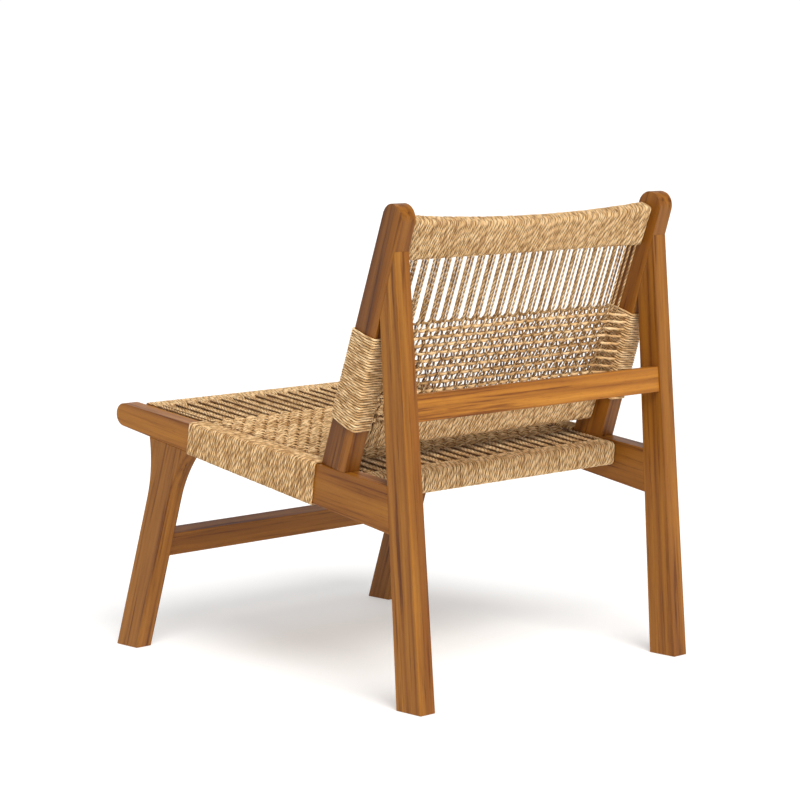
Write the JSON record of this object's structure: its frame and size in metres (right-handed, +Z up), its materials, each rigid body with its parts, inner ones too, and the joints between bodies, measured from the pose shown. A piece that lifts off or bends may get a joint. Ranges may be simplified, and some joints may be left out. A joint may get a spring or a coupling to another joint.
{
  "type": "armless lounge chair",
  "caption": "Low armless lounge chair: a teak frame with splayed flat legs, raked side rails and leaning stiles, and a seat and back of wound and woven rope.",
  "frame": {"origin": "on the floor, at the middle of the chair's outline seen from above", "axes": "+Z up, the chair faces -Y, and +X is the side of the sitter's left hand"},
  "size_m": [0.608, 0.715, 0.744],
  "materials": {
    "teak": "satin oiled teak, straight grain",
    "dowel_wood": "plain turned hardwood",
    "rope": "matt twisted paper or fibre rope"
  },
  "bodies": {
    "root": {"side_rail_left": "teak", "side_rail_right": "teak", "front_leg_left": "teak", "front_leg_right": "teak", "rear_leg_left": "teak", "rear_leg_right": "teak", "back_stile_left": "teak", "back_stile_right": "teak", "front_stretcher": "teak", "back_cross_rail": "teak", "seat_front_rail": "teak", "seat_rear_rail": "teak", "back_top_rail": "teak", "back_bottom_rail": "teak", "rail_dowels": "dowel_wood", "frame_dowels": "dowel_wood", "seat_wrap_left": "rope", "seat_wrap_right": "rope", "seat_wrap_front": "rope", "seat_wrap_rear": "rope", "seat_deck_top": "rope", "seat_deck_under": "rope", "back_wrap_left": "rope", "back_wrap_right": "rope", "back_wrap_top": "rope", "back_wrap_bottom": "rope", "back_panel_front": "rope", "back_panel_rear": "rope"}
  },
  "joints": []
}
